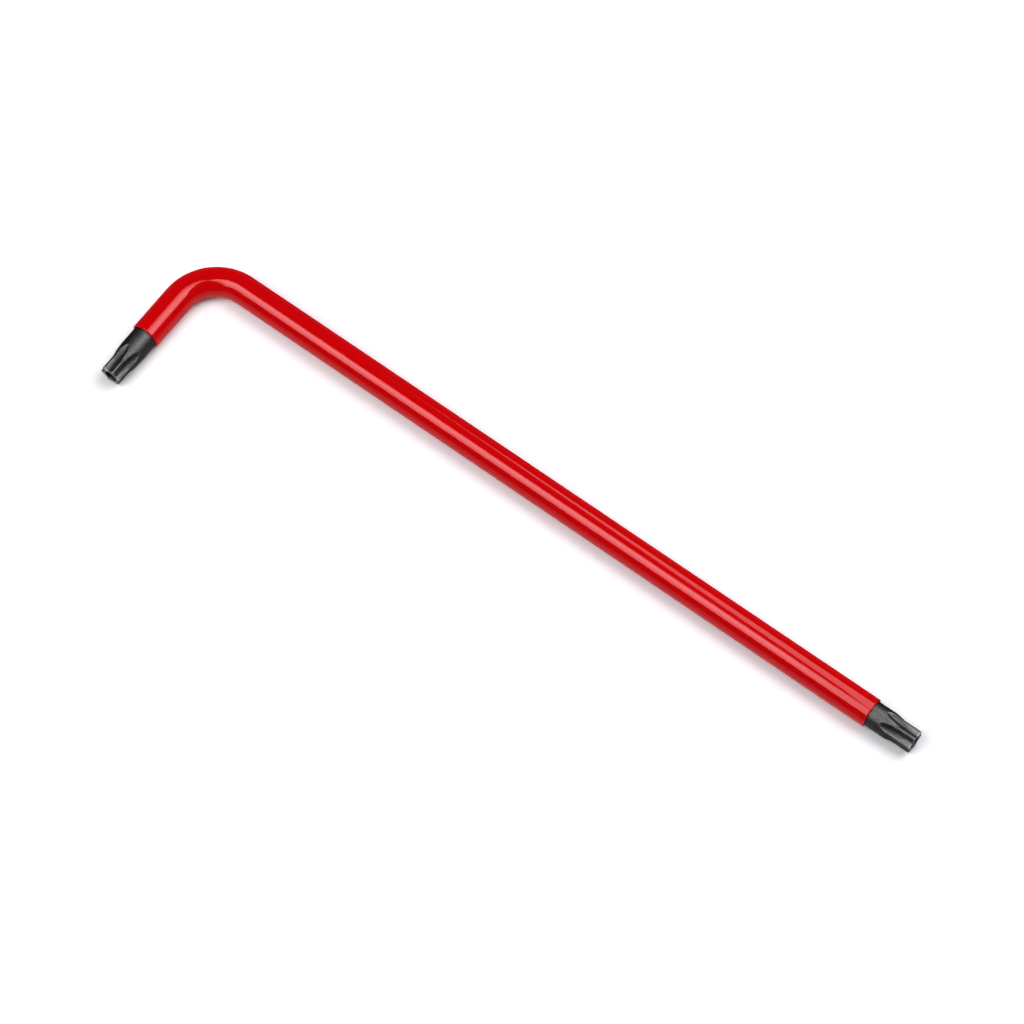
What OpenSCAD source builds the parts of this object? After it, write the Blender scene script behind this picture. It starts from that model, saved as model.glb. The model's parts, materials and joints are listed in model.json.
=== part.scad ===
// Star key: an L-shaped bar of blackened steel with a bored star end on each arm,
// and a glossy plastic sleeve shrunk onto the bar between the two ends.
// The key lies flat: the long arm runs along +X, the short arm along -Y.

/* [Bar] */
// Diameter of the steel bar
bar_d = 6; // [5.8:0.1:7]
// Length over the long arm, from the outside of the bend to the tip
long_len = 195; // [120:1:300]
// Length over the short arm, from the outside of the bend to the tip
short_len = 37.6; // [34:0.1:80]
// Radius of the bend at the middle of the bar
bend_r = 10.5; // [8:0.5:14]

/* [Star ends] */
// Size over two opposite lobes
star_d = 5.55; // [5.3:0.05:5.7]
// Size over two opposite flutes
root_d = 4; // [3.8:0.05:4.2]
// Radius that rounds the top of a lobe
lobe_r = 0.46; // [0.4:0.02:0.52]
// Length of the long arm's star at its full depth
long_star_len = 3.2; // [2.5:0.1:4.5]
// Length of the short arm's star at its full depth
short_star_len = 2.6; // [2.5:0.1:4.5]
// Length over which the flutes run out into the bar
runout_len = 5; // [3.5:0.1:6]
// Distance from the star's full depth back to the shoulder, where the bar starts to narrow
shoulder_len = 3.4; // [3:0.1:4.5]
// Slope of the shoulder, in degrees
shoulder_angle = 12; // [9:0.5:20]
// Radius that rounds the start of the shoulder
shoulder_r = 5; // [2:0.5:8]
// Width of the bevel round the tip, measured across the axis
tip_bevel_r = 0.12; // [0.05:0.01:0.35]
// Length of the bevel round the tip, measured along the axis
tip_bevel_len = 0.15; // [0.1:0.05:0.6]
// Turn of the long arm's top lobe towards the inside of the bend, in degrees
long_turn = 8.5; // [-30:0.5:30]
// Turn of the short arm's top lobe towards the inside of the bend, in degrees
short_turn = 17; // [-30:0.5:30]

/* [Pin holes] */
// Diameter of the hole in each tip, which clears a security pin
pin_hole_d = 2.9; // [2:0.1:3]
// Depth of the hole's straight wall
pin_hole_depth = 5; // [3:0.1:7]
// Width of the bevel round the hole's mouth
pin_hole_bevel = 0.12; // [0.05:0.01:0.2]
// Angle of the drill point at the bottom of the hole, in degrees
drill_angle = 118; // [90:1:140]

/* [Sleeve] */
// Thickness of the sleeve's wall
sleeve_wall = 0.4; // [0.25:0.05:1]
// Bare steel left at the long arm's tip
long_bare_len = 11.2; // [9:0.1:20]
// Bare steel left at the short arm's tip
short_bare_len = 12.3; // [9:0.1:14]
// Radius that rounds the outer edge of the sleeve's ends
lip_r = 0.2; // [0.05:0.01:0.24]

/* [Hidden] */
$fn = 96;

lobes = 6;
pitch_angle = 360 / lobes;
quarter_turn = 90;

// The cutters reach this far past what they cut
overrun = 0.5;
// A lobe is this much fuller than one that only touches the flutes, so the two meet in an edge
lobe_bite = 0.012;
// Number of straight steps in the shoulder's rounded start
shoulder_steps = 3;

bar_r = bar_d / 2;
sleeve_r = bar_r + sleeve_wall;
star_r = star_d / 2;
root_r = root_d / 2;
pin_hole_r = pin_hole_d / 2;

// Each arm is straight from the end of the bend to its tip
long_straight = long_len - bar_r - bend_r;
short_straight = short_len - bar_r - bend_r;

// The bounding box is centred on the origin, and the sleeve rests on the plane z = 0
bend_x = sleeve_r + bend_r - (long_len + sleeve_wall) / 2;
bend_y = (short_len + sleeve_wall) / 2 - sleeve_r - bend_r;

// Radius of a flute that touches the lobe on each side of it
lobe_at = star_r - lobe_r;
half_cos = cos(pitch_angle / 2);
flute_r = (pow(lobe_at, 2) + pow(root_r, 2) - 2 * lobe_at * root_r * half_cos - pow(lobe_r, 2))
    / (2 * (lobe_r - root_r + lobe_at * half_cos));
flute_at = root_r + flute_r;

// Distance from the axis to the point where a lobe and a flute touch
touch_share = lobe_r / (lobe_r + flute_r);
touch_r = norm([
    lobe_at + (flute_at * half_cos - lobe_at) * touch_share,
    flute_at * sin(pitch_angle / 2) * touch_share
]);

// The floor of a flute leaves the bar on an arc
runout_rise = bar_r - root_r;
runout_floor_r = (pow(runout_len, 2) + pow(runout_rise, 2)) / (2 * runout_rise);
runout_r = runout_floor_r - flute_r;
runout_angle = acos(1 - (runout_rise + overrun) / runout_floor_r);

// Rounded start of the shoulder, measured from the place where the star gets its full depth
shoulder_points = [
    for (i = [0 : shoulder_steps])
        let (a = shoulder_angle * i / shoulder_steps)
            [bar_r - shoulder_r * (1 - cos(a)), shoulder_r * sin(a) - shoulder_len]
];
shoulder_last = shoulder_points[shoulder_steps];
shoulder_full_z = shoulder_last[1] + (shoulder_last[0] - root_r) / tan(shoulder_angle);

// Stands its children round the middle of the bend, with the bar's axis at their own z = 0
module at_bend() {
    translate([bend_x, bend_y, sleeve_r]) children();
}

// Places its children on the long arm's axis, with their own +Z running from the bend to the tip
module along_long_arm() {
    translate([0, bend_r, 0]) rotate([0, quarter_turn, 0]) children();
}

// Places its children on the short arm's axis, with their own +Z running from the bend to the tip
module along_short_arm() {
    translate([-bend_r, 0, 0]) rotate([quarter_turn, 0, 0]) children();
}

// Places its children at the long arm's tip, turned so that their own X axis is the top lobe
module at_long_tip() {
    along_long_arm() translate([0, 0, long_straight]) rotate([0, 0, long_turn]) children();
}

// Places its children at the short arm's tip, turned so that their own X axis is the top lobe
module at_short_tip() {
    along_short_arm() translate([0, 0, short_straight])
        rotate([0, 0, quarter_turn - short_turn]) children();
}

// A round bar along the bent centre line, cut short of each tip
module bent_round(r, short_of_long_tip, short_of_short_tip) {
    along_long_arm() cylinder(r = r, h = long_straight - short_of_long_tip);
    rotate([0, 0, quarter_turn])
        rotate_extrude(angle = quarter_turn) translate([bend_r, 0]) circle(r = r);
    along_short_arm() cylinder(r = r, h = short_straight - short_of_short_tip);
}

// Repeats its children once for each lobe
module per_lobe() {
    for (i = [0 : lobes - 1]) rotate([0, 0, i * pitch_angle]) children();
}

// Cross-section of the star before the flutes are cut: a core with round lobes
module lobed_section() {
    circle(r = touch_r);
    per_lobe() translate([lobe_at, 0]) circle(r = lobe_r + lobe_bite);
}

// The star before the flutes are cut, long enough to start inside the bar
module star_blank(star_len) {
    blank_len = star_len + shoulder_len;
    translate([0, 0, -blank_len]) linear_extrude(height = blank_len) lobed_section();
}

// One flute: straight along the star, then lifting out of the bar on an arc
module flute(star_len) {
    rotate([0, 0, pitch_angle / 2]) translate([flute_at, 0, 0]) {
        translate([0, 0, -star_len]) cylinder(r = flute_r, h = star_len + overrun);
        translate([runout_r, 0, -star_len]) rotate([quarter_turn, 0, 2 * quarter_turn])
            rotate_extrude(angle = -runout_angle) translate([runout_r, 0]) circle(r = flute_r);
    }
}

// Everything outside the shoulder of the bar, which slopes on until it is inside the star
module shoulder_cutter(star_len) {
    foot_z = min(shoulder_full_z, star_len - overrun);
    foot_r = shoulder_last[0] - (foot_z - shoulder_last[1]) * tan(shoulder_angle);
    translate([0, 0, -star_len]) rotate_extrude() polygon(concat(shoulder_points, [
        [foot_r, foot_z],
        [0, foot_z],
        [0, star_len + overrun],
        [bar_r + overrun, star_len + overrun],
        [bar_r + overrun, -shoulder_len]
    ]));
}

// Everything outside the bevel round the tip
module tip_bevel_cutter() {
    rotate_extrude() polygon([
        [star_r - tip_bevel_r, 0],
        [star_r, -tip_bevel_len],
        [star_r + overrun, -tip_bevel_len],
        [star_r + overrun, overrun],
        [star_r - tip_bevel_r, overrun]
    ]);
}

// The drilled hole for a security pin, with its bevelled mouth and drill point
module pin_hole() {
    drill_point = pin_hole_r / tan(drill_angle / 2);
    translate([0, 0, -pin_hole_bevel - pin_hole_depth]) {
        cylinder(r = pin_hole_r, h = pin_hole_depth + pin_hole_bevel + overrun);
        translate([0, 0, -drill_point]) cylinder(r1 = 0, r2 = pin_hole_r, h = drill_point);
    }
    translate([0, 0, -pin_hole_bevel])
        cylinder(r1 = pin_hole_r, r2 = pin_hole_r + pin_hole_bevel + overrun, h = pin_hole_bevel + overrun);
}

// All that is cut from a star end: the flutes, the bevel and the hole
module star_cutter(star_len) {
    per_lobe() flute(star_len);
    tip_bevel_cutter();
    pin_hole();
}

// The bent steel bar with its two star ends, in one piece
module steel_bar() {
    color([0.16, 0.16, 0.17]) at_bend() difference() {
        union() {
            difference() {
                bent_round(bar_r, 0, 0);
                at_long_tip() shoulder_cutter(long_star_len);
                at_short_tip() shoulder_cutter(short_star_len);
            }
            at_long_tip() star_blank(long_star_len);
            at_short_tip() star_blank(short_star_len);
        }
        at_long_tip() star_cutter(long_star_len);
        at_short_tip() star_cutter(short_star_len);
    }
}

// Everything outside the rounded edge of a sleeve end that lies on the plane z = 0
module sleeve_edge_cutter() {
    translate([0, 0, -lip_r]) difference() {
        cylinder(r = sleeve_r + overrun, h = lip_r + overrun);
        rotate_extrude() {
            square([sleeve_r - lip_r, lip_r]);
            translate([sleeve_r - lip_r, 0]) circle(r = lip_r);
        }
    }
}

// The plastic sleeve, which grips the bar along its whole length
module grip_sleeve() {
    color([0.78, 0.02, 0.03]) at_bend() difference() {
        bent_round(sleeve_r, long_bare_len, short_bare_len);
        bent_round(bar_r, 0, 0);
        along_long_arm() translate([0, 0, long_straight - long_bare_len]) sleeve_edge_cutter();
        along_short_arm() translate([0, 0, short_straight - short_bare_len]) sleeve_edge_cutter();
    }
}

steel_bar();
grip_sleeve();
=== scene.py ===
"""Looks of the star key: a bent bar of blackened steel in a glossy red sleeve.

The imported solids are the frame. Each piece here stands for one of them at the same
size, with a finer skin and a finish made from shader nodes.
"""

import json
import logging
import math
from dataclasses import dataclass
from enum import Enum
from typing import Any, Mapping, NamedTuple, Sequence, Union

import bpy
import numpy as np
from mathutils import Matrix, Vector


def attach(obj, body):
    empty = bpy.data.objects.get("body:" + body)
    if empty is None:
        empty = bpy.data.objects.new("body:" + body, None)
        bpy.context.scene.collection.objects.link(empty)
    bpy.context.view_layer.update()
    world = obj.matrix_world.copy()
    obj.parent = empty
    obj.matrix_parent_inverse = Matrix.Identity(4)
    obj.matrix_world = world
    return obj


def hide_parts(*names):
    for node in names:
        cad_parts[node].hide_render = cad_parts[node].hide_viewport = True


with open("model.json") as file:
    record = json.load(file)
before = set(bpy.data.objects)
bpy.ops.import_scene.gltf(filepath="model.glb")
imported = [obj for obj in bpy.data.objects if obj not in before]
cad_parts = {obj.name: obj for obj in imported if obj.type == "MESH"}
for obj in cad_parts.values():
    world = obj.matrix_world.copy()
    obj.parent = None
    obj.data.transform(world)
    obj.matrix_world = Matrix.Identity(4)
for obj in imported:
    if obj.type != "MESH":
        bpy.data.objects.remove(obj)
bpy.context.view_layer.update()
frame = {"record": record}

MM = 0.001
FULL_TURN = 2 * math.pi
QUARTER_TURN = math.pi / 2
BODY = "root"

Array = np.ndarray
Colour = tuple[float, float, float]
Point = tuple[float, float, float]
Value = Union["Sock", float, Sequence[float]]

log = logging.getLogger("star_key")


class Node(Enum):
    """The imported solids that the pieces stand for."""

    BAR = "steel_bar"
    SLEEVE = "grip_sleeve"


class Slot(Enum):
    """The record's material slots."""

    STEEL = "blackened_steel"
    PLASTIC = "red_plastic"


class Mark(Enum):
    """Values kept on a skin's points for its finish to read."""

    UNBENT = "unbent"
    WEAR = "wear"
    DEPTH = "depth"


@dataclass(frozen=True)
class Noise:
    """One noise: grains per metre, finer layers, their strength and the stretch of each axis."""

    scale: float
    detail: float
    rough: float = 0.5
    stretch: Point = (1.0, 1.0, 1.0)


class Sock:
    """A shader socket that can stand in a Python expression."""

    def __init__(self, graph: "Graph", socket: bpy.types.NodeSocket) -> None:
        """Keep the socket and the graph that it belongs to."""
        self.graph = graph
        self.socket = socket

    def _math(self, operation: str, *terms: Value, clamped: bool = False) -> "Sock":
        """Add one Math node.

        Args:
            operation: The node's operation.
            terms: Its values or links, in order.
            clamped: Whether the result is kept from 0 to 1.

        Returns:
            The node's result.
        """
        settings = {"operation": operation, "use_clamp": clamped}
        return self.graph.add("ShaderNodeMath", settings, dict(enumerate(terms)))

    def __add__(self, other: Value) -> "Sock":
        """Return this value plus another."""
        return self._math("ADD", self, other)

    def __radd__(self, other: Value) -> "Sock":
        """Return another value plus this one."""
        return self._math("ADD", other, self)

    def __sub__(self, other: Value) -> "Sock":
        """Return this value less another."""
        return self._math("SUBTRACT", self, other)

    def __rsub__(self, other: Value) -> "Sock":
        """Return another value less this one."""
        return self._math("SUBTRACT", other, self)

    def __mul__(self, other: Value) -> "Sock":
        """Return this value times another."""
        return self._math("MULTIPLY", self, other)

    def __rmul__(self, other: Value) -> "Sock":
        """Return another value times this one."""
        return self._math("MULTIPLY", other, self)

    def clamped(self) -> "Sock":
        """Return this value kept from 0 to 1."""
        return self._math("ADD", self, 0.0, clamped=True)

    def eased(self, low: float, high: float) -> "Sock":
        """Turn this value into a soft step.

        Args:
            low: Where the step starts, at 0.
            high: Where it ends, at 1.

        Returns:
            The stepped value.
        """
        settings = {"interpolation_type": "SMOOTHSTEP"}
        inputs = {"Value": self, "From Min": low, "From Max": high}
        return self.graph.add("ShaderNodeMapRange", settings, inputs)


class Graph:
    """The node tree of one material, or of the surroundings."""

    # Places of a Mix node's sockets when it mixes colours
    MIX_SHARE, MIX_LOW, MIX_HIGH, MIX_RESULT = 0, 6, 7, 2

    def __init__(self, owner: Union[bpy.types.Material, bpy.types.World]) -> None:
        """Empty the owner's tree.

        Args:
            owner: What the tree belongs to.
        """
        self.owner = owner
        owner.use_nodes = True
        self.tree = owner.node_tree
        self.tree.nodes.clear()

    def add(
        self,
        kind: str,
        settings: Mapping[str, Any],
        inputs: Mapping[Union[int, str], Value],
        output: Union[int, str] = 0,
    ) -> Sock:
        """Add one node.

        Args:
            kind: The node's type.
            settings: Its properties, which are set first.
            inputs: The values or links of its sockets.
            output: The socket that is returned.

        Returns:
            The chosen output.
        """
        node = self.tree.nodes.new(kind)
        for name, value in settings.items():
            setattr(node, name, value)
        for name, value in inputs.items():
            if isinstance(value, Sock):
                self.tree.links.new(value.socket, node.inputs[name])
            else:
                node.inputs[name].default_value = value
        return Sock(self, node.outputs[output])

    def mark(self, mark: Mark) -> Sock:
        """Return a number that the skin's points carry."""
        return self.add("ShaderNodeAttribute", {"attribute_name": mark.value}, {}, "Fac")

    def unbent(self, stretch: Point) -> Sock:
        """Return the place on the unbent bar, with each axis stretched."""
        place = self.add("ShaderNodeAttribute", {"attribute_name": Mark.UNBENT.value}, {}, "Vector")
        return self.add("ShaderNodeVectorMath", {"operation": "MULTIPLY"}, {0: place, 1: stretch})

    def noise(self, noise: Noise) -> Sock:
        """Add a noise that follows the bent bar.

        Args:
            noise: Its grain.

        Returns:
            The noise, about 0.5.
        """
        inputs = {
            "Vector": self.unbent(noise.stretch),
            "Scale": noise.scale,
            "Detail": noise.detail,
            "Roughness": noise.rough,
        }
        return self.add("ShaderNodeTexNoise", {"noise_dimensions": "3D"}, inputs, "Fac")

    def mix(self, share: Value, low: Union[Sock, Colour], high: Union[Sock, Colour]) -> Sock:
        """Mix two colours.

        Args:
            share: The share of the second colour.
            low: The first colour.
            high: The second colour.

        Returns:
            The mixed colour.
        """
        first, second = (c if isinstance(c, Sock) else (*c, 1.0) for c in (low, high))
        inputs = {self.MIX_SHARE: share, self.MIX_LOW: first, self.MIX_HIGH: second}
        return self.add("ShaderNodeMix", {"data_type": "RGBA"}, inputs, self.MIX_RESULT)

    def bump(self, height: Sock, distance: float, strength: float) -> Sock:
        """Turn a height into a normal.

        Args:
            height: The height, about 0 to 1.
            distance: The real height of 1, in metres.
            strength: The share of it that shows.

        Returns:
            The normal.
        """
        inputs = {"Height": height, "Distance": distance, "Strength": strength}
        return self.add("ShaderNodeBump", {}, inputs, "Normal")

    def close(self, shader: Sock, kind: str) -> None:
        """Join a shader to the tree's output, a node of that type."""
        end = self.tree.nodes.new(kind)
        self.tree.links.new(shader.socket, end.inputs["Surface"])

    def surface(self, inputs: Mapping[str, Value]) -> bpy.types.Material:
        """Close a material's graph.

        Args:
            inputs: The values or links of the principled shader.

        Returns:
            The finished material.
        """
        shader = self.add("ShaderNodeBsdfPrincipled", {}, inputs)
        self.close(shader, "ShaderNodeOutputMaterial")
        return self.owner


@dataclass(frozen=True)
class Blend:
    """A sum of a finish's noises: the weight of each, and a number added to them."""

    cloud: float = 0.0
    grain: float = 0.0
    lines: float = 0.0
    base: float = 0.0

    def of(self, noises: Mapping[str, Sock]) -> Sock:
        """Add up the noises that have a weight.

        Args:
            noises: The noises, under the names of their weights.

        Returns:
            The sum.
        """
        weights = {name: getattr(self, name) for name in noises}
        first, *rest = [noises[name] * weight for name, weight in weights.items() if weight]
        total = sum(rest, first)
        return total + self.base if self.base else total


@dataclass(frozen=True)
class Finish:
    """A finish whose gloss and relief follow three noises: clouds, a fine grain and drawn lines."""

    name: str
    cloud: Noise
    grain: Noise
    lines: Noise
    matting: Blend
    rough_low: float
    rough_high: float
    relief: Blend
    relief_height: float
    relief_strength: float

    def noises(self, graph: Graph) -> dict[str, Sock]:
        """Return the three noises by name."""
        kinds = {"cloud": self.cloud, "grain": self.grain, "lines": self.lines}
        return {name: graph.noise(noise) for name, noise in kinds.items()}

    def roughness(self, noises: Mapping[str, Sock]) -> Sock:
        """Return the roughness of the unworn surface."""
        return self.rough_low + (self.rough_high - self.rough_low) * self.matting.of(noises)

    def normal(self, graph: Graph, noises: Mapping[str, Sock]) -> Sock:
        """Return the normal of the fine relief."""
        return graph.bump(self.relief.of(noises), self.relief_height, self.relief_strength)


@dataclass(frozen=True)
class BlackenedSteel(Finish):
    """Hardened steel, blackened by heat and oil, bare only where edges are rubbed."""

    name: str = "blackened_steel"
    cloud: Noise = Noise(scale=420.0, detail=4.0, rough=0.6)
    grain: Noise = Noise(scale=2100.0, detail=3.0, rough=0.6)
    lines: Noise = Noise(scale=5200.0, detail=3.0, rough=0.65, stretch=(1.0, 1.0, 0.035))
    matting: Blend = Blend(grain=0.6, lines=0.5, base=-0.05)
    rough_low: float = 0.40
    rough_high: float = 0.56
    relief: Blend = Blend(grain=0.3, lines=0.7)
    relief_height: float = 0.006 * MM
    relief_strength: float = 0.6
    dark: Colour = (0.034, 0.033, 0.034)
    pale: Colour = (0.130, 0.127, 0.128)
    mottle: Blend = Blend(cloud=0.6, grain=1.3, lines=0.6, base=-0.75)
    # Painted shade, laid by the depth mark in the flutes, the hole and the gap at the sleeve's ends
    painted_shade: Colour = (0.024, 0.023, 0.018)
    painted_shade_spread: Blend = Blend(cloud=0.5, base=0.35)
    rubbed: Colour = (0.60, 0.59, 0.58)
    rubbing: Blend = Blend(cloud=0.7, grain=0.9, base=-0.1)
    rubbed_gloss: float = 0.1
    metallic: float = 1.0

    def make(self) -> bpy.types.Material:
        """Make the material: mottled black, with painted shade in its hollows, and rubbed on the edges.

        Returns:
            The finished material.
        """
        g = Graph(bpy.data.materials.new(self.name))
        noises = self.noises(g)
        # Share of painted shade: the depth mark, mottled by the noises
        painted_shade_share = (g.mark(Mark.DEPTH) * self.painted_shade_spread.of(noises)).clamped()
        rub = (g.mark(Mark.WEAR) * self.rubbing.of(noises)).clamped()
        skin = g.mix(self.mottle.of(noises).clamped(), self.dark, self.pale)
        return g.surface({
            "Base Color": g.mix(rub, g.mix(painted_shade_share, skin, self.painted_shade), self.rubbed),
            "Metallic": self.metallic,
            "Roughness": (self.roughness(noises) - self.rubbed_gloss * rub).clamped(),
            "Normal": self.normal(g, noises),
        })


@dataclass(frozen=True)
class RedPlastic(Finish):
    """Glossy red plastic, drawn tight over the bar, with a fine peel as its grain."""

    name: str = "red_plastic"
    cloud: Noise = Noise(scale=160.0, detail=3.0)
    grain: Noise = Noise(scale=900.0, detail=2.0)
    lines: Noise = Noise(scale=1500.0, detail=2.0, stretch=(1.0, 1.0, 0.02))
    matting: Blend = Blend(cloud=0.4, grain=0.2, lines=0.5)
    rough_low: float = 0.06
    rough_high: float = 0.13
    relief: Blend = Blend(grain=0.6, lines=0.4)
    relief_height: float = 0.004 * MM
    relief_strength: float = 0.5
    deep: Colour = (0.395, 0.0, 0.0005)
    bright: Colour = (0.455, 0.0002, 0.001)
    tone: Blend = Blend(cloud=0.8, lines=0.3)
    gloss: Colour = (1.0, 0.48, 0.49)
    refraction: float = 1.6
    haze: Colour = (1.0, 0.01, 0.02)
    haze_weight: float = 0.6
    haze_rough: float = 0.6

    def make(self) -> bpy.types.Material:
        """Make the material: clouded red under a tinted gloss.

        Returns:
            The finished material.
        """
        g = Graph(bpy.data.materials.new(self.name))
        noises = self.noises(g)
        return g.surface({
            "Base Color": g.mix(self.tone.of(noises).clamped(), self.deep, self.bright),
            "Roughness": self.roughness(noises).clamped(),
            "IOR": self.refraction,
            "Specular Tint": (*self.gloss, 1.0),
            "Sheen Weight": self.haze_weight,
            "Sheen Roughness": self.haze_rough,
            "Sheen Tint": (*self.haze, 1.0),
            "Normal": self.normal(g, noises),
        })


@dataclass(frozen=True)
class PaleFloor:
    """Matt white studio floor."""

    name: str = "pale_floor"
    white: Colour = (0.84, 0.825, 0.855)
    roughness: float = 0.85
    gloss_level: float = 0.2

    def make(self) -> bpy.types.Material:
        """Make the material.

        Returns:
            The finished material.
        """
        return Graph(bpy.data.materials.new(self.name)).surface({
            "Base Color": (*self.white, 1.0),
            "Roughness": self.roughness,
            "Specular IOR Level": self.gloss_level,
        })


def mount(name: str) -> Mapping[str, Any]:
    """Return the record's mount of that name."""
    return next(m for m in frame["record"]["mounts"] if m["name"] == name)


def stand_in(piece: bpy.types.Object, material: bpy.types.Material, node: Node) -> None:
    """Dress a piece and let it stand for its solid.

    Args:
        piece: The piece.
        material: Its finish.
        node: The solid that it stands for.
    """
    piece.data.materials.append(material)
    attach(piece, BODY)
    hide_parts(node.value)


def soft_min(a: Array, b: Array, radius: float) -> Array:
    """Take the lower of two heights, with the edge between them rounded.

    Args:
        a: The first height.
        b: The second height.
        radius: How near the two are where the rounding starts.

    Returns:
        The lower height.
    """
    near = np.clip(1 - np.abs(a - b) / radius, 0, None)
    return np.minimum(a, b) - near**2 * radius / 4


@dataclass(frozen=True)
class BentLine:
    """The bar's middle line, from the long arm's tip round the bend to the short arm's tip.

    Distances along it are measured from the long arm's tip.
    """

    long_tip: Point = tuple(mount("long_star")["pos_m"])
    short_tip: Point = tuple(mount("short_star")["pos_m"])
    bend_r: float = 10.5 * MM
    long_bare: float = 11.2 * MM
    short_bare: float = 12.3 * MM

    @property
    def corner(self) -> Array:
        """Return the point where the two arms' axes cross."""
        return np.array([self.short_tip[0], self.long_tip[1], self.long_tip[2]])

    @property
    def bend_start(self) -> float:
        """Return the distance to the bend, which is the long arm's straight length."""
        return self.long_tip[0] - self.corner[0] - self.bend_r

    @property
    def bend_stop(self) -> float:
        """Return the distance to the end of the bend."""
        return self.bend_start + self.bend_r * QUARTER_TURN

    @property
    def length(self) -> float:
        """Return the length from tip to tip."""
        return self.bend_stop + self.corner[1] - self.short_tip[1] - self.bend_r

    @property
    def sleeve_start(self) -> float:
        """Return the distance to the sleeve."""
        return self.long_bare

    @property
    def sleeve_stop(self) -> float:
        """Return the distance to the end of the sleeve."""
        return self.length - self.short_bare

    def at(self, along: float) -> tuple[Array, Array]:
        """Find a point of the line.

        Args:
            along: Its distance along the line.

        Returns:
            The point, and the direction towards the inside of the bend there.
        """
        turn = min(max((along - self.bend_start) / self.bend_r, 0.0), QUARTER_TURN)
        inward = np.array([math.sin(turn), -math.cos(turn), 0.0])
        forward = np.array([-math.cos(turn), -math.sin(turn), 0.0])
        middle = self.corner + self.bend_r * np.array([1.0, -1.0, 0.0])
        if along < self.bend_start:
            rest = along - self.bend_start
        else:
            rest = max(along - self.bend_stop, 0.0)
        return middle - self.bend_r * inward + rest * forward, inward

    def ring(self, along: float, angles: Array, radii: Array) -> Array:
        """Place one ring of points round the line.

        Args:
            along: The ring's distance along the line.
            angles: Each point's angle from straight up, towards the inside of the bend.
            radii: Each point's distance from the line.

        Returns:
            The points, one row each.
        """
        middle, inward = self.at(along)
        up = np.array([0.0, 0.0, 1.0])
        spokes = np.outer(np.cos(angles), up) + np.outer(np.sin(angles), inward)
        return middle + radii[:, None] * spokes


class Skin:
    """A closed skin made ring by ring round the bent line."""

    def __init__(self, line: BentLine) -> None:
        """Start with no rings.

        Args:
            line: The line that the rings go round.
        """
        self.line = line
        self.points: list[Array] = []
        self.marks: dict[Mark, list[Array]] = {mark: [] for mark in Mark}

    def add(self, along: float, angles: Array, radii: Array, wear: Array, depth: Array) -> None:
        """Add one ring.

        Args:
            along: Its distance along the line.
            angles: Each point's angle from straight up, towards the inside of the bend.
            radii: Each point's distance from the line.
            wear: How rubbed each point is, from 0 to 1.
            depth: How much painted shade each point gets: 0 in the open, 1 deep in a flute or hole, more in
                the gap where the sleeve starts.
        """
        self.points.append(self.line.ring(along, angles, radii))
        unbent = np.stack([radii * np.cos(angles), radii * np.sin(angles), np.full_like(radii, along)], 1)
        self.marks[Mark.UNBENT].append(unbent)
        self.marks[Mark.WEAR].append(wear)
        self.marks[Mark.DEPTH].append(depth)

    def faces(self, looped: bool) -> list[list[int]]:
        """List the faces between the rings.

        Args:
            looped: Whether the last ring joins the first; the ends are closed otherwise.

        Returns:
            Each face's points.
        """
        count, columns = len(self.points), len(self.points[0])
        index = np.arange(count * columns).reshape(count, columns)
        around = np.roll(index, -1, axis=1)
        listed = []
        for i in range(count if looped else count - 1):
            j = (i + 1) % count
            listed += np.stack([index[i], around[i], around[j], index[j]], 1).tolist()
        if not looped:
            listed += [index[0][::-1].tolist(), index[-1].tolist()]
        return listed

    def build(self, name: str, looped: bool, crease: float) -> bpy.types.Object:
        """Make the object.

        Args:
            name: The piece's name.
            looped: Whether the last ring joins the first; the ends are closed otherwise.
            crease: The angle above which an edge is sharp.

        Returns:
            The object, in the scene.
        """
        mesh = bpy.data.meshes.new(name)
        mesh.from_pydata(np.concatenate(self.points).tolist(), [], self.faces(looped))
        for mark, rows in self.marks.items():
            values = np.concatenate(rows).astype(np.float32).ravel()
            kind, key = ("FLOAT_VECTOR", "vector") if mark is Mark.UNBENT else ("FLOAT", "value")
            mesh.attributes.new(mark.value, kind, "POINT").data.foreach_set(key, values)
        mesh.polygons.foreach_set("use_smooth", [True] * len(mesh.polygons))
        mesh.set_sharp_from_angle(angle=crease)
        mesh.update()
        piece = bpy.data.objects.new(name, mesh)
        bpy.context.scene.collection.objects.link(piece)
        return piece


class Ring(NamedTuple):
    """One ring of a star end: its depth from the tip, and its points' values."""

    z: float
    radii: Array
    wear: Array
    depth: Array


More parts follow.
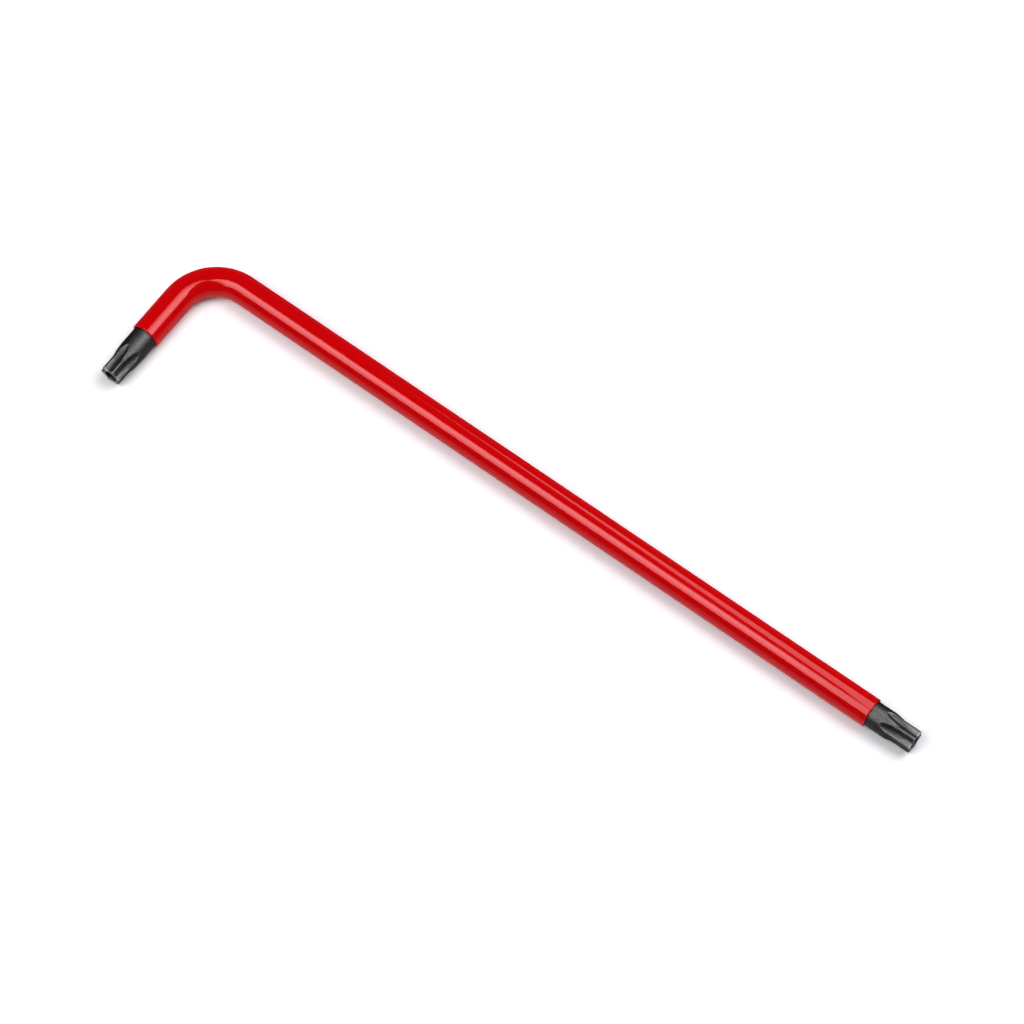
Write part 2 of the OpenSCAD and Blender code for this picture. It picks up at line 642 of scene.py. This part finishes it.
@dataclass(frozen=True)
class StarEnd:
    """One star end: six lobes, flutes that run out into the bar, and a bored tip.

    Depths from the tip are called z. The shares place rings between the ends of their stretch.
    """

    bar_r: float
    turn: float
    star_len: float
    hole_r: float
    hole_depth: float
    # Form
    lobes: int = 6
    star_r: float = 2.775 * MM
    root_r: float = 2.0 * MM
    lobe_r: float = 0.46 * MM
    runout_len: float = 5.0 * MM
    shoulder_len: float = 3.4 * MM
    shoulder_angle: float = math.radians(12)
    shoulder_r: float = 5.0 * MM
    bevel_r: float = 0.12 * MM
    bevel_len: float = 0.15 * MM
    hole_bevel: float = 0.12 * MM
    lip_bevel: float = 0.012 * MM
    drill_angle: float = math.radians(118)
    # Rounding and rubbing of the edges, and the painted shade in the hole
    edge_round: float = 0.06 * MM
    end_round: float = 0.16 * MM
    edge_rub_width: float = 0.10 * MM
    crest_rub_width: float = 0.03 * MM
    tip_rub_len: float = 0.20 * MM
    edge_wear: float = 0.14
    crest_wear: float = 0.07
    tip_wear: float = 0.8
    mouth_light: float = 0.8
    # Spacing of the rings and of their points
    drill_point_shares: tuple[float, ...] = (0.02, 0.5, 0.98, 1.0)
    hole_wall_shares: tuple[float, ...] = (0.02, 0.35, 0.7, 0.9, 0.98, 1.0)
    end_face_shares: tuple[float, ...] = (0.02, 0.2, 0.5, 0.8, 0.97)
    bevel_rings: int = 9
    ring_step: float = 0.09 * MM
    plain_len: float = 0.3 * MM
    columns_per_lobe: int = 36
    outline_samples: int = 4001
    # Search for the flutes' floor
    halvings: int = 40
    flute_side_share: float = 0.9999

    @property
    def pitch(self) -> float:
        """Return the angle from lobe to lobe."""
        return FULL_TURN / self.lobes

    @property
    def lobe_at(self) -> float:
        """Return the distance from the axis to a lobe's centre."""
        return self.star_r - self.lobe_r

    @property
    def flute_r(self) -> float:
        """Work out the radius of a flute that touches the lobe on each side of it.

        Returns:
            The radius.
        """
        a, b, half = self.lobe_at, self.root_r, math.cos(self.pitch / 2)
        top = a**2 + b**2 - 2 * a * b * half - self.lobe_r**2
        return top / (2 * (self.lobe_r - b + a * half))

    def lobed(self, off: Array) -> Array:
        """Find the star before its flutes are cut.

        Args:
            off: Angles from the nearest lobe's middle.

        Returns:
            The distance from the axis.
        """
        side = self.lobe_at * np.sin(off)
        reach = np.sqrt(np.clip(self.lobe_r**2 - side**2, 0, None))
        return self.lobe_at * np.cos(off) + reach

    def shoulder(self, z: float) -> float:
        """Find the bar where it narrows to the star.

        Args:
            z: The depth from the tip.

        Returns:
            The bar's radius.
        """
        before = self.star_len + self.shoulder_len - z
        if before <= 0:
            return self.bar_r
        arc = self.shoulder_r * math.sin(self.shoulder_angle)
        angle = math.asin(min(before, arc) / self.shoulder_r)
        radius = self.bar_r - self.shoulder_r * (1 - math.cos(angle))
        return radius - max(before - arc, 0) * math.tan(self.shoulder_angle)

    def end_inset(self, z: float) -> float:
        """Return how far the rounded edge of the end face lies inside the star."""
        rest = max(self.end_round - z, 0.0)
        return self.end_round - math.sqrt(self.end_round**2 - rest**2)

    def flute(self, off: Array, z: float) -> Array:
        """Find the floor of the flutes, by halving the stretch that it must lie in.

        Args:
            off: Angles from the nearest flute's middle.
            z: The depth from the tip.

        Returns:
            The distance from the axis, or a large one where there is no flute.
        """
        rise = self.bar_r - self.root_r
        floor_r = (self.runout_len**2 + rise**2) / (2 * rise)
        middle = self.root_r + floor_r
        past = max(z - self.star_len, 0.0)
        far = 2 * self.bar_r
        low, high = np.zeros_like(off), np.full_like(off, far)
        for _ in range(self.halvings):
            r = (low + high) / 2
            side = np.sqrt(np.clip(self.flute_r**2 - (r * np.sin(off)) ** 2, 0, None))
            gap = np.hypot(middle - r * np.cos(off), past) - (floor_r - self.flute_r) - side
            low, high = np.where(gap > 0, r, low), np.where(gap > 0, high, r)
        missed = np.abs(low * np.sin(off)) >= self.flute_r * self.flute_side_share
        return np.where(missed, far, low)

    def wear(self, radii: Array, edge_gap: Array, z: float) -> Array:
        """Find how rubbed a ring is on the flutes' edges, the lobes' crests and the tip.

        Args:
            radii: Each point's distance from the axis.
            edge_gap: How far apart the lobe and the flute are at each point.
            z: The depth from the tip.

        Returns:
            The rubbing, from 0 to 1.
        """
        edge = np.exp(-((edge_gap / self.edge_rub_width) ** 2))
        crest = np.clip(1 - (self.star_r - radii) / self.crest_rub_width, 0, 1) * (z < self.star_len)
        tip = math.exp(-((z / self.tip_rub_len) ** 2))
        return np.clip(self.edge_wear * edge + self.crest_wear * crest + self.tip_wear * tip, 0, 1)

    def section(self, angles: Array, z: float) -> Ring:
        """Cut across the star end.

        Args:
            angles: Angles from the first lobe's middle.
            z: The depth from the tip.

        Returns:
            The ring there.
        """
        lobe_off = (angles + self.pitch / 2) % self.pitch - self.pitch / 2
        flute_off = angles % self.pitch - self.pitch / 2
        full = np.maximum(self.lobed(lobe_off), self.shoulder(z))
        if z < self.bevel_len:
            cone = self.star_r - self.bevel_r * (1 - z / self.bevel_len)
            full = soft_min(full, np.full_like(full, cone), self.edge_round)
        flute = self.flute(flute_off, z)
        radii = soft_min(full, flute, self.edge_round) - self.end_inset(z)
        # Painted shade: the deeper a point lies in a flute, the darker it is painted
        depth = np.clip((full - radii) / (self.bar_r - self.root_r), 0, 1)
        return Ring(z, radii, self.wear(radii, full - flute, z), depth)

    def columns(self) -> Array:
        """Space the points of a ring evenly along the star's outline.

        Returns:
            The points' angles.
        """
        fine = np.linspace(0, self.pitch, self.outline_samples)
        radii = self.section(fine, self.star_len / 2).radii
        step = np.hypot(np.diff(radii), radii[1:] * np.diff(fine))
        run = np.concatenate([[0], np.cumsum(step)])
        even = np.interp(np.linspace(0, run[-1], self.columns_per_lobe + 1)[:-1], run, fine)
        return np.concatenate([even + self.pitch * k for k in range(self.lobes)])

    def hole_rings(self, ones: Array) -> list[Ring]:
        """List the rings of the hole, whose painted shade gets lighter towards its mouth.

        Args:
            ones: A one for each point of a ring.

        Returns:
            The rings, from the drill point out.
        """
        bottom = self.hole_bevel + self.hole_depth
        point = self.hole_r / math.tan(self.drill_angle / 2)
        # Painted shade: full at the drill point, fading up the wall towards the mouth
        cone = [
            Ring(bottom + point * (1 - share), self.hole_r * share * ones, 0 * ones, ones)
            for share in self.drill_point_shares
        ]
        wall = [
            Ring(
                bottom - self.hole_depth * share,
                self.hole_r * ones,
                0 * ones,
                (1 - self.mouth_light * share**2) * ones,
            )
            for share in self.hole_wall_shares
        ]
        return cone + wall

    def face_rings(self, angles: Array, ones: Array) -> list[Ring]:
        """List the rings of the end face.

        Args:
            angles: Angles from the first lobe's middle.
            ones: A one for each point of a ring.

        Returns:
            The rings, from the hole's lip out.
        """
        mouth = self.hole_r + self.hole_bevel
        outline = self.section(angles, 0.0).radii
        lip = Ring(self.lip_bevel, (mouth - self.lip_bevel) * ones, self.tip_wear * ones, 0 * ones)
        return [lip] + [
            Ring(0.0, mouth + (outline - mouth) * share, self.tip_wear * ones, 0 * ones)
            for share in self.end_face_shares
        ]

    def rings(self, angles: Array) -> list[Ring]:
        """List the rings from the drill point out over the tip and down to the plain bar.

        Args:
            angles: Angles from the first lobe's middle.

        Returns:
            The rings, in that order.
        """
        ones = np.ones_like(angles)
        last = self.star_len + self.runout_len + self.plain_len
        depths = np.concatenate([
            self.bevel_len * np.linspace(0, 1, self.bevel_rings) ** 2,
            np.arange(self.bevel_len + self.ring_step, last, self.ring_step),
        ])
        outside = [self.section(angles, z) for z in depths]
        return self.hole_rings(ones) + self.face_rings(angles, ones) + outside


@dataclass
class SteelBar:
    """The bent bar with a star end on each arm, in one piece."""

    line: BentLine
    finish: BlackenedSteel
    bar_r: float = 3.0 * MM
    long_turn: float = math.radians(8.5)
    short_turn: float = math.radians(17)
    long_star_len: float = 3.2 * MM
    short_star_len: float = 2.6 * MM
    # Painted shade of the thin gap where the sleeve's ends meet the bar
    gap_shade_width: float = 0.22 * MM
    gap_shade_strength: float = 1.4
    gap_shade_bare_widths: float = 3.0
    gap_shade_hidden_widths: float = 1.0
    gap_shade_rings: int = 17
    crease: float = math.radians(70)
    bend_steps: int = 48
    straight_steps: int = 12

    def end(self, turn: float, star_len: float, bore: str) -> StarEnd:
        """Size one star end.

        Args:
            turn: The turn of its top lobe towards the inside of the bend.
            star_len: Its length at full depth.
            bore: The name of the mount in its tip.

        Returns:
            The star end.
        """
        dims = mount(bore)["dims"]
        return StarEnd(self.bar_r, turn, star_len, dims["r_mm"] * MM, dims["length_mm"] * MM)

    def painted_gap_shade(self, along: float) -> float:
        """Return the painted shade of the gap at the sleeve's ends, which is most where the sleeve starts."""
        off = max(self.line.sleeve_start - along, along - self.line.sleeve_stop, 0.0)
        return self.gap_shade_strength * math.exp(-((off / self.gap_shade_width) ** 2))

    def middle_stations(self, long_end: float, short_end: float) -> Array:
        """Space the plain rings, closest where the sleeve starts.

        Args:
            long_end: The distance along the line to the long arm's last ring.
            short_end: The distance along the line to the short arm's last ring.

        Returns:
            The rings' distances along the line, between those two.
        """
        line = self.line
        near = self.gap_shade_width * np.linspace(-self.gap_shade_bare_widths, self.gap_shade_hidden_widths, self.gap_shade_rings)
        return np.unique(np.concatenate([
            np.linspace(long_end, line.bend_start, self.straight_steps)[1:-1],
            np.linspace(line.bend_start, line.bend_stop, self.bend_steps + 1),
            np.linspace(line.bend_stop, short_end, self.straight_steps)[1:-1],
            line.sleeve_start + near,
            line.sleeve_stop - near,
        ]))

    def skin(self) -> Skin:
        """Go from the long arm's drill point to the short arm's.

        Returns:
            The skin.
        """
        skin = Skin(self.line)
        long_end = self.end(self.long_turn, self.long_star_len, "long_tip_bore")
        short_end = self.end(self.short_turn, self.short_star_len, "short_tip_bore")
        angles = long_end.columns()
        ones = np.ones_like(angles)
        length = self.line.length
        long_rings, short_rings = long_end.rings(angles), short_end.rings(angles)
        for z, radii, wear, depth in long_rings:
            skin.add(z, angles + long_end.turn, radii, wear, depth)
        first, last = long_rings[-1].z, length - short_rings[-1].z
        for along in self.middle_stations(first, last):
            share = (along - first) / (last - first)
            turn = long_end.turn + (short_end.turn - long_end.turn) * share
            # Plain rings carry the painted shade of the gap at the sleeve's ends
            skin.add(along, angles + turn, self.bar_r * ones, 0 * ones, self.painted_gap_shade(along) * ones)
        for z, radii, wear, depth in reversed(short_rings):
            skin.add(length - z, angles + short_end.turn, radii, wear, depth)
        return skin

    def build(self) -> bpy.types.Object:
        """Make the piece, dress it and let it stand for its solid.

        Returns:
            The piece.
        """
        piece = self.skin().build("star_key_bar", looped=False, crease=self.crease)
        stand_in(piece, self.finish.make(), Node.BAR)
        return piece


@dataclass
class GripSleeve:
    """The plastic sleeve that grips the bar between its bare ends."""

    line: BentLine
    finish: RedPlastic
    inner_r: float = 3.0 * MM
    outer_r: float = mount("holder_grip")["dims"]["r_mm"] * MM
    lip_r: float = 0.2 * MM
    flare: float = 0.10 * MM
    flare_len: float = 0.25 * MM
    columns: int = 144
    long_steps: int = 24
    bend_steps: int = 72
    short_steps: int = 8
    lip_steps: int = 8
    crease: float = math.radians(40)

    def outline(self) -> list[tuple[float, float]]:
        """Go once round the wall: out along the outside, and back through the bore.

        Returns:
            The rings' distances along the line, and their radii.
        """
        line, start, stop = self.line, self.line.sleeve_start, self.line.sleeve_stop
        arc = np.linspace(0, QUARTER_TURN, self.lip_steps + 1)
        lip = [(self.lip_r * (1 - math.sin(a)), self.lip_r * (1 - math.cos(a))) for a in arc[::-1]]
        runs = np.concatenate([
            np.linspace(start + self.lip_r, line.bend_start, self.long_steps)[1:-1],
            np.linspace(line.bend_start, line.bend_stop, self.bend_steps + 1),
            np.linspace(line.bend_stop, stop - self.lip_r, self.short_steps)[1:-1],
        ])
        out = [(start + d, self.outer_r - e) for d, e in lip]
        back = [(stop - d, self.outer_r - e) for d, e in reversed(lip)]
        bore = (stop - self.flare_len, *runs[::-1], start + self.flare_len)
        mouth = self.inner_r + self.flare
        inside = [(stop, mouth), *((a, self.inner_r) for a in bore), (start, mouth)]
        return out + [(a, self.outer_r) for a in runs] + back + inside

    def skin(self) -> Skin:
        """Turn the outline round the line.

        Returns:
            The skin.
        """
        skin = Skin(self.line)
        angles = np.linspace(0, FULL_TURN, self.columns, endpoint=False)
        ones = np.ones_like(angles)
        for along, radius in self.outline():
            skin.add(along, angles, radius * ones, 0 * ones, 0 * ones)
        return skin

    def build(self) -> bpy.types.Object:
        """Make the piece, dress it and let it stand for its solid.

        Returns:
            The piece.
        """
        piece = self.skin().build("star_key_sleeve", looped=True, crease=self.crease)
        stand_in(piece, self.finish.make(), Node.SLEEVE)
        return piece


@dataclass(frozen=True)
class Softbox:
    """A soft studio light that hangs level above the key."""

    name: str
    centre: Point
    width: float
    depth: float
    brightness: float
    turn: float = 0.0

    def build(self) -> bpy.types.Object:
        """Hang the light.

        Returns:
            The light's object.
        """
        light = bpy.data.lights.new(self.name, "AREA")
        light.shape = "RECTANGLE"
        light.size, light.size_y = self.width, self.depth
        light.energy = self.brightness * math.pi * self.width * self.depth
        hung = bpy.data.objects.new(self.name, light)
        hung.location = self.centre
        hung.rotation_euler = (0.0, 0.0, self.turn)
        bpy.context.scene.collection.objects.link(hung)
        return hung


# Each light is a wide panel, with a smaller core just under it that adds to its brightness
BACK_RIGHT_TURN = math.radians(23)
FRONT_LEFT_PANEL = Softbox(
    "front_left_panel", (-0.30, -0.587, 0.80), width=0.72, depth=0.945, brightness=4.3
)
FRONT_LEFT_CORE = Softbox(
    "front_left_core", (-0.29, -0.40, 0.79), width=0.42, depth=0.36, brightness=2.4
)
BACK_RIGHT_PANEL = Softbox(
    "back_right_panel", (0.300, 0.601, 0.80), width=1.02, depth=1.00, brightness=3.1, turn=BACK_RIGHT_TURN
)
BACK_RIGHT_CORE = Softbox(
    "back_right_core", (0.372, 0.354, 0.79), width=0.57, depth=0.50, brightness=2.9, turn=BACK_RIGHT_TURN
)


@dataclass(frozen=True)
class Surround:
    """The dim room round the key, paler low down on the camera's side.

    The two steps say where the front and the low part of the room start and end.
    """

    name: str = "studio_room"
    front: Point = (0.594, -0.805, 0.0)
    front_step: tuple[float, float] = (-0.35, 0.2)
    low_step: tuple[float, float] = (-0.3, 0.0)
    dim: Colour = (0.02, 0.02, 0.02)
    pale: Colour = (0.45, 0.45, 0.45)

    def build(self) -> bpy.types.World:
        """Make the surroundings.

        Returns:
            The world.
        """
        g = Graph(bpy.data.worlds.new(self.name))
        way = g.add("ShaderNodeTexCoord", {}, {}, "Generated")
        dot = {"operation": "DOT_PRODUCT"}
        front = g.add("ShaderNodeVectorMath", dot, {0: way, 1: self.front}, "Value")
        height = g.add("ShaderNodeSeparateXYZ", {}, {0: way}, "Z")
        below = front.eased(*self.front_step) * (1 - height.eased(*self.low_step))
        shader = g.add("ShaderNodeBackground", {}, {"Color": g.mix(below, self.dim, self.pale)})
        g.close(shader, "ShaderNodeOutputWorld")
        bpy.context.scene.world = g.owner
        return g.owner


@dataclass
class Studio:
    """The floor, the lights and the camera."""

    floor_half: float = 6.0
    camera_at: Point = (0.228134, -0.303084, 0.849261)
    aim: Point = (-0.003327, 0.007612, 0.0034)
    lens: float = 150.0
    sensor: float = 36.0
    nearest: float = 0.01
    boxes: tuple[Softbox, ...] = (FRONT_LEFT_PANEL, FRONT_LEFT_CORE, BACK_RIGHT_PANEL, BACK_RIGHT_CORE)

    def floor(self) -> bpy.types.Object:
        """Lay the floor, which the key's gloss doesn't mirror.

        Returns:
            The floor's object.
        """
        half = self.floor_half
        mesh = bpy.data.meshes.new("studio_floor")
        corners = [(-half, -half, 0), (half, -half, 0), (half, half, 0), (-half, half, 0)]
        mesh.from_pydata(corners, [], [(0, 1, 2, 3)])
        mesh.materials.append(PaleFloor().make())
        laid = bpy.data.objects.new("studio_floor", mesh)
        bpy.context.scene.collection.objects.link(laid)
        laid.visible_glossy = False
        return laid

    def camera(self) -> bpy.types.Object:
        """Set up the camera.

        Returns:
            The camera's object.
        """
        lens = bpy.data.cameras.new("photo_camera")
        lens.lens, lens.sensor_width = self.lens, self.sensor
        lens.clip_start = self.nearest
        stand = bpy.data.objects.new("photo_camera", lens)
        stand.location = self.camera_at
        sight = Vector(self.aim) - Vector(self.camera_at)
        stand.rotation_euler = sight.to_track_quat("-Z", "Y").to_euler()
        bpy.context.scene.collection.objects.link(stand)
        bpy.context.scene.camera = stand
        return stand

    def build(self) -> None:
        """Set up the floor, the lights, the surroundings and the camera."""
        self.floor()
        for box in self.boxes:
            box.build()
        Surround().build()
        bpy.context.scene.view_settings.view_transform = "Standard"
        self.camera()


def main() -> None:
    """Build the key's pieces and the studio, and report each piece."""
    logging.basicConfig(level=logging.INFO, format="%(name)s: %(message)s")
    line = BentLine()
    for part in (SteelBar(line, BlackenedSteel()), GripSleeve(line, RedPlastic())):
        piece = part.build()
        log.info("%s: %d faces", piece.name, len(piece.data.polygons))
    studio = Studio()
    studio.build()
    log.info("studio: %d softboxes", len(studio.boxes))


if __name__ == "__main__":
    main()
